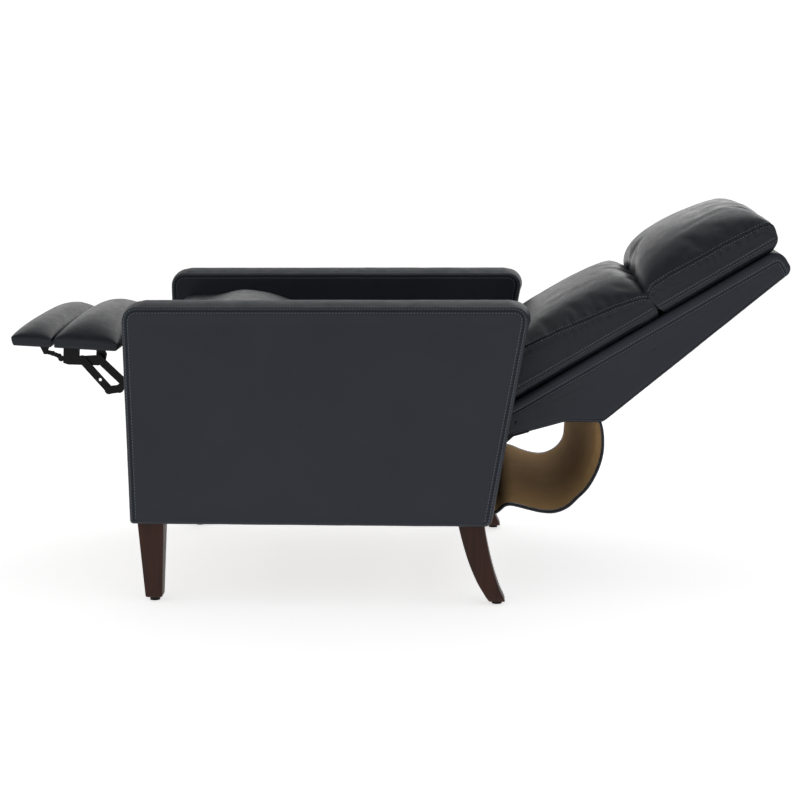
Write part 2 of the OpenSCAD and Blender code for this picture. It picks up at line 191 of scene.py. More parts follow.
def metal(name, color, rough, metalness, spec=0.5):
    m, nt, b = new_mat(name, color, rough, metalness, spec)
    co = nt.nodes.new("ShaderNodeTexCoord").outputs["Object"]
    n = noise(nt, co, 60.0, 5.0, 0.6)
    dark, light = (tuple(x * k for x in color) for k in (0.8, 1.2))
    c = ramp(nt, n.outputs["Fac"], [(0.3, dark), (0.7, light)])
    nt.links.new(c.outputs["Color"], b.inputs["Base Color"])
    nt.links.new(rescale(nt, n.outputs["Fac"], rough - 0.07, rough + 0.09), b.inputs["Roughness"])
    fine = noise(nt, co, 1400.0, 2.0)
    nt.links.new(bump(nt, fine.outputs["Fac"], 0.00006, 0.4), b.inputs["Normal"])
    return m


M_BLACK = metal("black_steel", (0.0045, 0.0045, 0.005), 0.34, 0.0, 0.16)
M_ZINC = metal("zinc_steel", (0.42, 0.42, 0.43), 0.34, 1.0)
M_SPRING = metal("spring_steel", (0.3, 0.3, 0.31), 0.4, 1.0)


def cloth(name, dark, light):
    """Plain weave: two crossed waves multiplied."""
    m, nt, b = new_mat(name, dark, 0.9, 0, 0.15)
    co = nt.nodes.new("ShaderNodeTexCoord").outputs["Object"]
    mx = nt.nodes.new("ShaderNodeMath")
    mx.operation = "MULTIPLY"
    for k, direction in enumerate("XY"):
        w = nt.nodes.new("ShaderNodeTexWave")
        w.bands_direction = direction
        w.inputs["Scale"].default_value = 90.0
        nt.links.new(co, w.inputs["Vector"])
        nt.links.new(w.outputs["Fac"], mx.inputs[k])
    c = ramp(nt, mx.outputs[0], [(0.0, dark), (1.0, light)])
    nt.links.new(c.outputs["Color"], b.inputs["Base Color"])
    nt.links.new(bump(nt, mx.outputs[0], 0.0003, 0.5), b.inputs["Normal"])
    return m


M_DECK = cloth("deck_cloth", (0.02, 0.02, 0.021), (0.05, 0.05, 0.052))
M_BOARD = cloth("dust_cloth", (0.006, 0.006, 0.007), (0.014, 0.014, 0.016))


# ------------------------------------------------------------------ mesh tools
def make(name, verts, faces, mats, idx=None):
    me = bpy.data.meshes.new(name)
    me.from_pydata([tuple(v) for v in verts], [], [tuple(int(i) for i in f) for f in faces])
    for m in mats if isinstance(mats, (list, tuple)) else [mats]:
        me.materials.append(m)
    if idx is not None:
        me.polygons.foreach_set("material_index", np.asarray(idx, np.int32))
    me.polygons.foreach_set("use_smooth", [True] * len(me.polygons))
    me.update()
    ob = bpy.data.objects.new(name, me)
    COLL.objects.link(ob)
    return ob


def fix_normals(ob):
    bm = bmesh.new()
    bm.from_mesh(ob.data)
    bmesh.ops.recalc_face_normals(bm, faces=bm.faces)
    bm.to_mesh(ob.data)
    bm.free()
    ob.data.update()


def apply_mods(ob):
    dg = bpy.context.evaluated_depsgraph_get()
    me = bpy.data.meshes.new_from_object(ob.evaluated_get(dg))
    ob.modifiers.clear()
    old = ob.data
    ob.data = me
    bpy.data.meshes.remove(old)


def subdivide(ob):
    mod = ob.modifiers.new("sub", "SUBSURF")
    mod.levels = mod.render_levels = 1
    apply_mods(ob)


def coords(ob):
    a = np.empty(len(ob.data.vertices) * 3)
    ob.data.vertices.foreach_get("co", a)
    return a.reshape(-1, 3)


def set_coords(ob, a):
    ob.data.vertices.foreach_set("co", np.asarray(a, np.float64).ravel())
    ob.data.update()


def normals(ob):
    a = np.empty(len(ob.data.vertices) * 3)
    ob.data.vertices.foreach_get("normal", a)
    return a.reshape(-1, 3)


def smooth_noise(p, scale, seed):
    """Soft value in [-1, 1] at points p (n, 3), feature size about 1/scale metres."""
    rng = np.random.default_rng(seed)
    out = np.zeros(len(p))
    amp, tot = 1.0, 0.0
    for o in range(3):
        s = scale * 2 ** o
        for _ in range(5):
            d = rng.normal(size=3)
            d /= np.linalg.norm(d)
            ph = rng.uniform(0, TURN)
            d2 = rng.normal(size=3)
            ph2 = rng.uniform(0, TURN)
            bend = 1.3 * np.sin(3.1 * s * (p @ d2) + ph2)
            out += amp * 0.2 * np.sin(TURN * s * (p @ d) + ph + bend)
        tot += amp
        amp *= 0.5
    return out / tot


def to_back(x, s, d):
    c, q = math.cos(BACK_A), math.sin(BACK_A)
    return np.stack([x, BACK_O[0] + s * c - d * q, BACK_O[1] + s * q + d * c], -1)


def to_seat(x, y, z):
    c, q = math.cos(SEAT_A), math.sin(SEAT_A)
    dy, dz = y - SEAT_P[0], z - SEAT_P[1]
    return np.stack([x, SEAT_P[0] + dy * c - dz * q, SEAT_P[1] + dy * q + dz * c], -1)


def to_foot(x, y, z):
    c, q = math.cos(FOOT_A), math.sin(FOOT_A)
    return np.stack([x, FOOT_O[0] + y * c - z * q, FOOT_O[1] + y * q + z * c], -1)


def quads(rings, m):
    """Faces between each two of a run of rings of m vertices."""
    out = []
    for r in range(rings - 1):
        for i in range(m):
            j = (i + 1) % m
            out.append((r * m + i, r * m + j, (r + 1) * m + j, (r + 1) * m + i))
    return out


def ring(ctrl, radii, inset, counts):
    """Rounded polygon whose edges can each be moved inwards by their own distance."""
    n = len(ctrl)
    c = [np.array(p, float) for p in ctrl]
    lines = []
    for i in range(n):
        a, b = c[i], c[(i + 1) % n]
        t = (b - a) / np.linalg.norm(b - a)
        nr = np.array([-t[1], t[0]])  # inwards for a counter-clockwise outline
        lines.append((a + nr * inset[i], t))
    cor = []
    for i in range(n):
        (p, t), (q, u) = lines[i - 1], lines[i]
        den = t[0] * u[1] - t[1] * u[0]
        k = ((q - p)[0] * u[1] - (q - p)[1] * u[0]) / den
        cor.append(p + t * k)
    arcs = []
    for i in range(n):
        t, u = lines[i - 1][1], lines[i][1]
        r = max(radii[i] - 0.5 * (inset[i - 1] + inset[i]), 0.6)
        turn = math.atan2(t[0] * u[1] - t[1] * u[0], t @ u)
        cut = r * math.tan(abs(turn) / 2)
        a, b = cor[i] - t * cut, cor[i] + u * cut
        sg = 1 if turn > 0 else -1
        ctr = a + sg * r * np.array([-t[1], t[0]])
        a0 = math.atan2(*(a - ctr)[::-1])
        angles = [a0 + turn * k / ARC_STEPS for k in range(ARC_STEPS + 1)]
        arcs.append([ctr + r * np.array([math.cos(g), math.sin(g)]) for g in angles])
    pts = []
    for i in range(n):
        pts += arcs[i]
        a, b = arcs[i][-1], arcs[(i + 1) % n][0]
        for k in range(1, counts[i]):
            pts.append(a + (b - a) * k / counts[i])
    return np.array(pts)


def edge_counts(ctrl, step):
    n = len(ctrl)
    return [max(2, int(math.dist(ctrl[(i + 1) % n], ctrl[i]) / step)) for i in range(n)]


def edge_weights(counts, w):
    """The edges' weights w at every point of a ring; a corner has the mean of its two edges."""
    out = []
    for i, count in enumerate(counts):
        out += [0.5 * (w[i - 1] + w[i])] * (ARC_STEPS + 1)
        out += [w[i]] * (count - 1)
    return np.array(out)


def strip(off, m):
    """Faces that close a ring of m vertices by joining it across, so that no vertex gathers many edges."""
    h = m // 2
    a = [off + i for i in range(h)]
    b = [off + m - 1 - i for i in range(h)]
    out = [(a[i], a[i + 1], b[i + 1], b[i]) for i in range(h - 1)]
    if m % 2:
        out.append((a[-1], off + h, b[-1]))
    return out


def sweep(name, ctrl, radii, table, half, x0, crown, puff, cross, groove_at, flatten):
    """A padded slab: side outline ctrl (mm), table rows of per-edge inset, drop from the face and groove,
    mirrored on both faces. half is the half thickness, x0 the middle. crown rounds the band between the
    faces, in rows cross apart, and flatten weighs it edge by edge; groove_at does so for the groove."""
    counts = edge_counts(ctrl, 7.0)
    wts = edge_weights(counts, groove_at)
    face = [ring(ctrl, radii, row[0], counts) for row in table]
    drops = [row[1] + row[2] * wts for row in table]
    inner = face[-1]
    cen = inner.mean(0)
    ks = (0.05, 0.12, 0.21, 0.32, 0.45, 0.6, 0.76, 0.9)
    full = face + [inner + (cen - inner) * k for k in ks]
    dr = drops + [drops[-1] - puff * math.sin(min(1, k * 1.5) * math.pi / 2) for k in ks]
    base = full[0]
    t = np.diff(np.vstack([base[-1:], base, base[:1]]), axis=0)
    tt = t[:-1] + t[1:]
    tt /= np.linalg.norm(tt, axis=1)[:, None]
    outn = np.stack([tt[:, 1], -tt[:, 0]], -1)
    outn = outn * edge_weights(counts, flatten)[:, None]
    hb = half - float(np.mean(drops[0]))
    nb = max(3, int(2 * hb / cross))
    seq = [(full[i], half - dr[i]) for i in range(len(full) - 1, -1, -1)]
    for k in range(1, nb):
        x = hb - 2 * hb * k / nb
        q = 1 - (x / hb) ** 2
        seq.append((base + outn * crown * q, np.full(len(base), x)))
    seq += [(full[i], -(half - dr[i])) for i in range(len(full))]
    m = len(base)
    verts = np.vstack([np.column_stack([x0 + x, p[:, 0], p[:, 1]]) for p, x in seq])
    faces = quads(len(seq), m) + strip(0, m) + strip((len(seq) - 1) * m, m)
    ob = make(name, verts * MM, faces, [M_PANEL])
    fix_normals(ob)
    return ob


def seam_path(ctrl, radii, inset, x, edges):
    """Open 3-D path (metres) along some edges at one inset of a slab's outline, on the face at x (mm)."""
    counts = edge_counts(ctrl, 6.0)
    outline = ring(ctrl, radii, inset, counts)
    keep = edge_weights(counts, [1 if i in edges else 0 for i in range(len(ctrl))]) > 0.4
    pts = np.column_stack([np.full(len(outline), x), outline[:, 0], outline[:, 1]]) * MM
    first = next(i for i in range(len(keep)) if keep[i] and not keep[i - 1])
    order = [(first + k) % len(keep) for k in range(len(keep))]
    return pts[[i for i in order if keep[i]]]


# ------------------------------------------------------------------ stitches
def capsule(l, r, sides=6):
    """One stitch of length l and radius r along X, with rounded ends."""
    half = [(-l / 2, 0), (-l / 2 + 0.35 * r, 0.7 * r), (-l / 2 + r, r)]
    prof = half + [(-x, rr) for x, rr in reversed(half)]
    v, f = [(prof[0][0], 0, 0)], []
    for x, rr in prof[1:-1]:
        for k in range(sides):
            a = 2 * math.pi * k / sides
            v.append((x, rr * math.cos(a), rr * math.sin(a)))
    v.append((prof[-1][0], 0, 0))
    for k in range(sides):
        f.append((0, 1 + (k + 1) % sides, 1 + k))
    for r_ in range(3):
        for k in range(sides):
            a, b = 1 + r_ * sides + k, 1 + r_ * sides + (k + 1) % sides
            f.append((a, b, b + sides, a + sides))
    e = len(v) - 1
    for k in range(sides):
        f.append((e, e - sides + k, e - sides + (k + 1) % sides))
    return np.array(v), f


def resample(path, step):
    path = np.asarray(path, float)
    d = np.r_[0, np.cumsum(np.linalg.norm(np.diff(path, axis=0), axis=1))]
    n = max(2, int(d[-1] / step))
    t = (np.arange(n) + 0.5) * d[-1] / n
    pts = np.stack([np.interp(t, d, path[:, k]) for k in range(3)], -1)
    t2 = np.clip(t + 1e-4, 0, d[-1])
    t1 = np.clip(t - 1e-4, 0, d[-1])
    tan = np.stack([np.interp(t2, d, path[:, k]) - np.interp(t1, d, path[:, k]) for k in range(3)], -1)
    tan /= np.linalg.norm(tan, axis=1)[:, None] + 1e-12
    return pts, tan


def tree_of(ob):
    me = ob.data
    return BVHTree.FromPolygons([v.co[:] for v in me.vertices], [p.vertices[:] for p in me.polygons])


def stitches(name, paths, surf, body, step=6.4, length=4.6, r=0.55, lift=0.12):
    """Thread stitches laid on surface surf along 3-D paths (metres), a step apart."""
    reach = 0.02
    tree = tree_of(surf)
    tv, tf = capsule(length * MM, r * MM)
    allv, allf, off = [], [], 0
    for path in paths:
        pts, tan = resample(path, step * MM)
        for p, t in zip(pts, tan):
            loc, nrm, _, _ = tree.find_nearest(Vector(p), reach)
            if loc is None:
                continue
            nrm = np.array(nrm)
            t = t - nrm * (t @ nrm)
            if np.linalg.norm(t) < 1e-6:
                continue
            t /= np.linalg.norm(t)
            b = np.cross(nrm, t)
            c = np.array(loc) + nrm * lift * MM
            allv.append(c + tv[:, :1] * t + tv[:, 1:2] * b + tv[:, 2:3] * nrm)
            allf += [tuple(i + off for i in f) for f in tf]
            off += len(tv)
    ob = make(name, np.vstack(allv), allf, M_THREAD)
    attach(ob, body)
    return ob


# ------------------------------------------------------------------ arms
ARM = [(-552, 175), (205.4, 175), (285.4, 637.5), (-559.5, 633.5)]
ARM_R = [8, 16, 30, 32]
ARM_SEAM = [9, 11, 7.5, 10]


def rounded_rows(seam, R=9.0, depth=1.7, bulge=0.7):
    """Rows of a slab's face: a rolled edge of radius R, a bulge up to the seam, and the seam's groove."""
    rows = []
    for th in (0, 15, 30, 45, 60, 75, 90):
        a = math.radians(th)
        rows.append(([R * (1 - math.cos(a)) * min(1, s / (R + 1.5)) for s in seam], R * (1 - math.sin(a)), 0))
    R2 = [R * min(1, s / (R + 1.5)) for s in seam]
    for f in (0.35, 0.65):
        inset = [r + (s - 1.6 - r) * f for r, s in zip(R2, seam)]
        rows.append((inset, -bulge * math.sin(math.pi * f) * 0.4, 0))
    groove_section = ((-1.5, 0.45), (-0.7, 0.85), (0.0, 1.0), (0.7, 0.82), (1.6, 0.42), (2.8, 0.12),
                      (5.0, -0.12), (9.0, -0.25), (16.0, -0.2), (28.0, 0.0))
    for o, g in groove_section:
        rows.append(([s + o for s in seam], 0.0, depth * g))
    return rows


def tree_of_points(pts):
    kd = KDTree(len(pts))
    for i, q in enumerate(pts):
        kd.insert(q, i)
    kd.balance()
    return kd


def relief(ob, seam_pts, amp, scale, seed, pucker=0.0, wave=13.0, reach=16.0, keep=None):
    """Uneven padding: soft swells everywhere and short puckers beside the seams."""
    p = coords(ob)
    nr = normals(ob)
    d = amp * smooth_noise(p, scale, seed) + 0.35 * amp * smooth_noise(p, scale * 4, seed + 1)
    if seam_pts is not None:
        pts, arc = [], []
        for path in seam_pts:
            q, _ = resample(path, 3 * MM)
            pts.append(q)
            arc.append(np.arange(len(q)) * 3.0)
        pts, arc = np.vstack(pts), np.concatenate(arc)
        kd = tree_of_points(pts)
        dist, s = np.empty(len(p)), np.empty(len(p))
        for i, q in enumerate(p):
            _, j, dd = kd.find(q)
            dist[i], s[i] = dd * 1000, arc[j]
        ph = 2.4 * np.sin(s / 47.0 + seed) + 1.7 * np.sin(s / 19.0 + 2 * seed)
        fall = np.exp(-(dist / reach) ** 2) * np.clip(dist / 2.5, 0, 1)
        strength = 0.65 + 0.35 * np.sin(s / 61.0 + 3.0 * seed)
        d = d + pucker * fall * np.sin(TURN * s / wave + ph) * strength
    if keep is not None:
        d = d * keep(p)
    set_coords(ob, p + nr * (d * MM)[:, None])


def upholster(ob, body, nodes):
    """Attaches a leather piece to its body and hides the CAD nodes it replaces."""
    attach(ob, body)
    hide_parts(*nodes)


def arm(side_name, sx):
    x0 = sx * ARM_X
    ob = sweep("arm_upholstery_" + side_name, ARM, ARM_R, rounded_rows(ARM_SEAM), ARM_HALF, x0,
               crown=7.0, puff=2.2, cross=6.0, groove_at=[0.0, 1, 1, 1], flatten=[0, 0.3, 1, 0.3])
    seams = [seam_path(ARM, ARM_R, ARM_SEAM, x0 + q * ARM_HALF, [1, 2, 3]) for q in (-1, 1)]
    relief(ob, seams, 0.55, 7.0, 11 if sx > 0 else 23, 0.4)
    subdivide(ob)
    upholster(ob, "base", ["arm_cover_" + side_name])
    rows = [seam_path(ARM, ARM_R, [v + o for v in ARM_SEAM], x0 + q * ARM_HALF, [1, 2, 3])
            for q in (-1, 1) for o in (-4.2, 4.2)]
    stitches("arm_stitches_" + side_name, rows, ob, "base", length=4.4, r=0.68, lift=0.25)


arm("left", 1)
arm("right", -1)

# ------------------------------------------------------------------ back shell
SHELL = [(235.5, 340.5), (362, 376.5), (442, 375.5), (832, 701), (803, 747.9), (235.5, 408.3)]
SHELL_R = [4, 20, 24, 17, 27, 5]
SHELL_SEAM = [9, 8, 5.0, 15, 20, 6]


def back_shell():
    ob = sweep("back_shell_leather", SHELL, SHELL_R, rounded_rows(SHELL_SEAM, 9.0, 1.5, 0.3), SHELL_HALF, 0,
               crown=3.0, puff=0.0, cross=9.0,
               groove_at=[0.4, 0.4, 0.8, 1, 1, 0.2], flatten=[0, 0, 1, 1, 0, 0])
    seams = [seam_path(SHELL, SHELL_R, SHELL_SEAM, q * SHELL_HALF, [2, 3, 4]) for q in (-1, 1)]
    relief(ob, seams, 0.5, 6.0, 31, 0.4)
    subdivide(ob)
    upholster(ob, "back", ["back_shell"])
    rows = []
    for q in (-1, 1):
        for o in (-3.6, 3.6):
            inset = [v + o if v > 7 else v for v in SHELL_SEAM]
            rows.append(seam_path(SHELL, SHELL_R, inset, q * SHELL_HALF, [3, 4]))
    stitches("back_shell_stitches", rows, ob, "back")


back_shell()


# ------------------------------------------------------------------ cushions
def catmull(p0, p1, p2, p3, t):
    """Point at t (0..1) of the smooth curve from p1 to p2."""
    return 0.5 * ((2 * p1) + (-p0 + p2) * t + (2 * p0 - 5 * p1 + 4 * p2 - p3) * t * t
                  + (-p0 + 3 * p1 - 3 * p2 + p3) * t ** 3)


def run_of(path):
    """Distance travelled at each point of a 2-D path."""
    return np.r_[0, np.cumsum(np.linalg.norm(np.diff(path, axis=0), axis=1))]


def open_spline(pts, n, parts=12):
    """n evenly spaced points on the smooth open curve through pts, and its length."""
    P, path = np.array(pts, float), []
    for i in range(len(P) - 1):
        p0, p1, p2, p3 = P[max(i - 1, 0)], P[i], P[i + 1], P[min(i + 2, len(P) - 1)]
        path += [catmull(p0, p1, p2, p3, k / parts) for k in range(parts)]
    path = np.array(path + [P[-1]])
    d = run_of(path)
    t = np.linspace(0, d[-1], n)
    return np.stack([np.interp(t, d, path[:, k]) for k in range(2)], -1), d[-1]


def spline_closed(pts, step, sharp):
    """Smooth closed curve through pts (mm); indices in sharp keep their corner."""
    P = np.array(pts, float)
    n = len(P)
    out = []
    for i in range(n):
        p0, p1, p2, p3 = P[i - 1], P[i], P[(i + 1) % n], P[(i + 2) % n]
        if i in sharp:
            p0 = p1 - (p2 - p1)
        if (i + 1) % n in sharp:
            p3 = p2 + (p2 - p1)
        m = max(2, int(np.linalg.norm(p2 - p1) / 1.5))
        out += [catmull(p0, p1, p2, p3, k / m) for k in range(m)]
    out = np.array(out + [out[0]])
    d = run_of(out)
    m = int(d[-1] / step)
    t = np.arange(m) * d[-1] / m
    return np.stack([np.interp(t, d, out[:, k]) for k in range(2)], -1)


def cushion_mesh(name, prof, seam, hx, world, mats, step, power, root=2.0, under=0.0, end_in=2.0):
    """Closed cushion: the profile prof (mm, u along, v up) runs across X; beyond the seam height
    seam(u) the crown falls to the seam at the ends. Returns the object, its vertices before they were
    placed in the world (mm), and the numbers of rings and of vertices in a ring."""
    m = len(prof)
    nx = int(2 * hx / step)
    th = np.linspace(-1, 1, nx + 1)
    xs = np.sign(th) * (1 - (1 - np.abs(th)) ** 1.4)
    sv = np.array([seam(u) for u in prof[:, 0]])
    over = np.maximum(prof[:, 1] - sv, 0)
    cen = prof.mean(0)
    verts = []

    def tuck_at(h):
        """How far the ends draw in (mm) at height h above the underside."""
        return under * np.clip(1 - (h - prof[:, 1].min()) / 14.0, 0, 1) ** 1.7

    for t in xs:
        f = max(0.0, 1 - abs(t) ** power) ** (1 / root)
        q = prof.copy()
        q[:, 1] = prof[:, 1] - over * (1 - f)
        sh = end_in * abs(t) ** 6
        dirn = q - cen
        q = q - dirn / np.linalg.norm(dirn, axis=1)[:, None] * sh * (prof[:, 1:2] > 3)
        verts.append(np.column_stack([t * (hx - tuck_at(q[:, 1])), q[:, 0], q[:, 1]]))
    R = len(xs)
    faces = quads(R, m)
    off = R * m
    ks = (0.025, 0.06, 0.11, 0.18, 0.27, 0.38, 0.52, 0.68, 0.84)
    for e in (0, 1):
        end = verts[0] if e == 0 else verts[R - 1]
        prev = 0 if e == 0 else (R - 1) * m
        c2 = end[:, 1:].mean(0)
        for k in ks:
            q = end.copy()
            q[:, 1:] += (c2 - q[:, 1:]) * k
            q[:, 0] = (1 if e else -1) * (hx - tuck_at(q[:, 2]) + 1.5 * math.sin(min(1, 2 * k) * math.pi / 2))
            verts.append(q)
            for i in range(m):
                j = (i + 1) % m
                faces.append((prev + i, prev + j, off + j, off + i))
            prev = off
            off += m
        faces += strip(prev, m)
    v = np.vstack(verts)
    w = world(v[:, 0] * MM, v[:, 1] * MM, v[:, 2] * MM)
    ob = make(name, w, faces, mats)
    fix_normals(ob)
    return ob, v, R, m


def simulate(ob, pin, caps, pressure, grow, frames):
    """Inflates the cover like stuffed leather. pin is 0..1 per vertex, caps the furthest move in mm."""
    rest = coords(ob)
    g = ob.vertex_groups.new(name="hold")
    for i, wgt in enumerate(pin):
        if wgt > 0:
            g.add([i], float(wgt), "REPLACE")
    c = ob.modifiers.new("cloth", "CLOTH")
    st = c.settings
    st.quality = 5
    st.mass = 0.3
    st.tension_stiffness = st.compression_stiffness = 12.0
    st.shear_stiffness = 7.2
    st.bending_stiffness = 0.6
    st.tension_damping = st.compression_damping = 8
    st.use_pressure = True
    st.uniform_pressure_force = pressure
    st.shrink_min = grow
    st.vertex_group_mass = "hold"
    st.pin_stiffness = 4.0
    st.effector_weights.gravity = 0
    c.collision_settings.use_collision = False
    c.collision_settings.use_self_collision = False
    c.point_cache.frame_start = 1
    c.point_cache.frame_end = frames
    for f in range(1, frames + 1):
        SCENE.frame_set(f)
    apply_mods(ob)
    ob.vertex_groups.clear()
    now = coords(ob)
    d = now - rest
    moved = np.linalg.norm(d, axis=1) * 1000
    limited = caps * np.tanh(moved / np.maximum(caps, 1e-6))
    k = np.where(moved > 1e-6, limited / np.maximum(moved, 1e-6), 1.0)
    set_coords(ob, rest + d * k[:, None])
    SCENE.frame_set(1)


def interp_fn(table):
    t = np.array(sorted(table), float)
    return lambda u: float(np.interp(u, t[:, 0], t[:, 1]))


def line_across(world, xs, u, v):
    """Points along X on a cushion, at u along and v up (mm)."""
    return world(xs * MM, np.full(len(xs), u) * MM, np.full(len(xs), v) * MM)


def seam_line(seam, prof_u, hx, world, sign, inset=2.0, lift=0.0):
    u = np.linspace(prof_u[0], prof_u[1], 160)
    v = np.array([seam(a) for a in u]) + lift
    return world(np.full(len(u), sign * (hx - inset)) * MM, u * MM, v * MM)


def groove(ob, paths, depth, width, lip):
    """Sinks the surface along seam paths and lets it swell a little beside them."""
    reach = 9.0  # mm from the seam to the end of the swell
    kd = tree_of_points(np.vstack([resample(p, 1.5 * MM)[0] for p in paths]))
    p, nr = coords(ob), normals(ob)
    d = np.array([kd.find(q)[2] for q in p]) * 1000
    swell = lip * np.exp(-((d - reach * 0.6) / (reach * 0.3)) ** 2)
    off = -depth * np.exp(-(d / width) ** 2) + swell
    set_coords(ob, p + nr * (off * MM)[:, None])


def fold_field(p, lines):
    """Sum of soft ridge and valley lines: each is (start, end, height mm, width mm)."""
    out = np.zeros(len(p))
    for a, b, h, w in lines:
        a, b = np.array(a), np.array(b)
        ab = b - a
        t = np.clip(((p - a) @ ab) / (ab @ ab), 0, 1)
        d = np.linalg.norm(p - (a + t[:, None] * ab), axis=1) * 1000
        fade = np.sin(np.pi * np.clip(t, 0.02, 0.98)) ** 0.6
        out += h * fade * np.exp(-(d / w) ** 2)
    return out


# lower back cushion
LUM = [(-18, 0.6), (120, 0.6), (260, 0.6), (343, 0.6), (349, 10), (351, 28), (350, 66), (337, 98),
       (296, 113), (205, 119), (110, 117), (40, 108), (0, 93), (-19, 74), (-23, 36)]
LUM_SEAM = interp_fn([(-30, 62), (-18, 72), (20, 88), (77, 90), (146, 84), (223, 73), (275, 67),
                      (330, 56), (352, 44)])
# head cushion
HEAD = [(362, 0.6), (450, 0.6), (540, 0.6), (616, 0.6), (631, 9), (641, 26), (643, 50), (636, 76),
        (612, 99), (560, 115), (490, 126), (420, 127), (367, 114), (343, 89), (343, 53), (352, 14)]
HEAD_SEAM = interp_fn([(340, 50), (364, 66), (406, 68), (476, 66), (542, 65), (620, 60), (637, 55),
                       (650, 44)])


def back_cushion(name, ctrl, seam, node, seed, top_lines, pucker):
    """top_lines are its soft folds, as fold_field takes them."""
    prof = spline_closed(ctrl, 7.5, (0, 3))
    ob, v, R, m = cushion_mesh(name, prof, seam, BACK_HALF, to_back, [M_LEATHER], 8.0, 2.7, under=10.0)
    sv = np.array([seam(u) for u in v[:, 1]])
    idx = np.arange(len(v))
    at_end = (idx < m) | (idx >= (R - 1) * m)
    on_seam = at_end & (np.abs(v[:, 2] - sv) < 2.5) & ((idx < m) | ((idx >= (R - 1) * m) & (idx < R * m)))
    pin = np.where(v[:, 2] < 3.0, 1.0, np.where(on_seam, 1.0, np.where(at_end, 0.55, 0.0)))
    caps = np.where(v[:, 2] < 3.0, 0.5, np.where(at_end, 3.0, 11.0))
    simulate(ob, pin, caps, 3.0, -0.02, 22)
    subdivide(ob)
    lo, hi = prof[:, 0].min(), prof[:, 0].max()
    paths = [seam_line(seam, (lo + 6, hi - 4), BACK_HALF, to_back, q, 0.4) for q in (-1, 1)]
    groove(ob, paths, 2.2, 2.3, 0.5)
    p = coords(ob)
    nr = normals(ob)
    set_coords(ob, p + nr * (fold_field(p, top_lines) * MM)[:, None])
    relief(ob, paths, 0.7, 6.0, seed, pucker, 17.0, 20.0)
    upholster(ob, "back", [node])
    along = np.linspace(lo + 12, hi - 10, 60) * MM

    def low_line(q, height):
        return to_back(np.full(60, q * BACK_HALF) * MM, along, np.full(60, height) * MM)

    groove(ob, [low_line(q, 21.0) for q in (-1, 1)], 1.5, 2.0, 0.4)
    rows = [low_line(q, height) for q in (-1, 1) for height in (17.6, 24.4)]
    for inset, lift in ((0.0, -4.2), (2.2, 4.4)):
        rows += [seam_line(seam, (lo + 8, hi - 6), BACK_HALF, to_back, q, inset, lift) for q in (-1, 1)]
    stitches(name + "_stitches", rows, ob, "back")


def bl(x, s, d):
    """Place on the back: x across, s up along it, d out from it, in mm."""
    return to_back(np.array([x]) * MM, np.array([s]) * MM, np.array([d]) * MM)[0]


lum_lines = [(bl(-200, 330, 70), bl(210, 318, 88), -2.5, 26), (bl(-230, 60, 108), bl(230, 52, 108), -1.6, 30),
             (bl(120, 120, 118), bl(140, 338, 90), -1.8, 15), (bl(40, 150, 118), bl(60, 340, 90), -1.6, 15),
             (bl(90, 140, 118), bl(100, 330, 98), 1.6, 16)]
back_cushion("back_cushion_lower_leather", LUM, LUM_SEAM, "back_cushion_lower", 41, lum_lines, 0.9)
head_lines = [(bl(190, 352, 90), bl(150, 545, 120), -2.6, 12), (bl(155, 350, 92), bl(118, 600, 118), 2.8, 14),
              (bl(120, 352, 95), bl(84, 634, 100), -4.6, 12), (bl(80, 352, 98), bl(50, 600, 118), 3.0, 15),
              (bl(45, 352, 98), bl(20, 630, 100), -4.2, 13), (bl(0, 352, 98), bl(-20, 590, 118), 2.8, 16),
              (bl(-50, 352, 98), bl(-70, 620, 100), -3.0, 15),
              (bl(-130, 352, 98), bl(-130, 600, 112), -2.8, 16)]
back_cushion("back_cushion_head_leather", HEAD, HEAD_SEAM, "back_cushion_head", 43, head_lines, 1.25)

# seat cushion
SEAT = [(54, 384.2), (-100, 393.5), (-300, 405.5), (-470, 414.2), (-500, 418), (-535, 420.5), (-547, 429),
        (-550, 448), (-550, 464), (-541, 471), (-519, 479), (-482, 487), (-450, 501), (-412, 520),
        (-370, 526.5), (-315, 523), (-200, 499), (-60, 472), (-14, 458), (-4, 444), (0, 426), (28, 412),
        (58, 402), (67, 393)]
SEAT_SEAM = interp_fn([(-560, 466), (-548, 470), (-530, 480), (-500, 485), (-395, 489), (-300, 485),
                       (-180, 474), (-60, 458), (-10, 443), (10, 420), (70, 398)])


def seat_cushion():
    prof = spline_closed(SEAT, 8.0, (0, 3))
    ob, v, _, _ = cushion_mesh("seat_cushion_leather", prof, SEAT_SEAM, SEAT_HALF, to_seat, [M_LEATHER],
                               8.5, 3.4, root=2.2)
    under = v[:, 2] < np.interp(v[:, 1], [-550, -470, 54], [424, 416.5, 386])
    at_end = np.abs(v[:, 0]) > 247.2
    on_seam = at_end & (np.abs(v[:, 2] - np.array([SEAT_SEAM(u) for u in v[:, 1]])) < 2.5)
    pin = np.where(under | on_seam, 1.0, np.where(at_end, 0.6, 0.0))
    caps = np.where(under, 0.4, np.where(at_end, 2.0, 7.0))
    simulate(ob, pin, caps, 2.6, -0.025, 20)
    subdivide(ob)
    sides = [seam_line(SEAT_SEAM, (-540, -12), SEAT_HALF, to_seat, q) for q in (-1, 1)]
    groove(ob, sides, 1.6, 2.4, 0.4)
    front = [line_across(to_seat, np.linspace(-236, 236, 80), -543.0, 484.0)]
    groove(ob, front, 1.7, 2.6, 0.5)
    relief(ob, sides + front, 0.9, 5.0, 47, 0.8, 18.0, 24.0)
    upholster(ob, "seat", ["seat_cushion"])
    xs = np.linspace(-232, 232, 90)
    rows = [line_across(to_seat, xs, y, z) for y, z in ((-540.0, 488.5), (-546.0, 479.5))]
    stitches("seat_cushion_stitches", rows, ob, "seat", step=6.6, length=4.7)


seat_cushion()

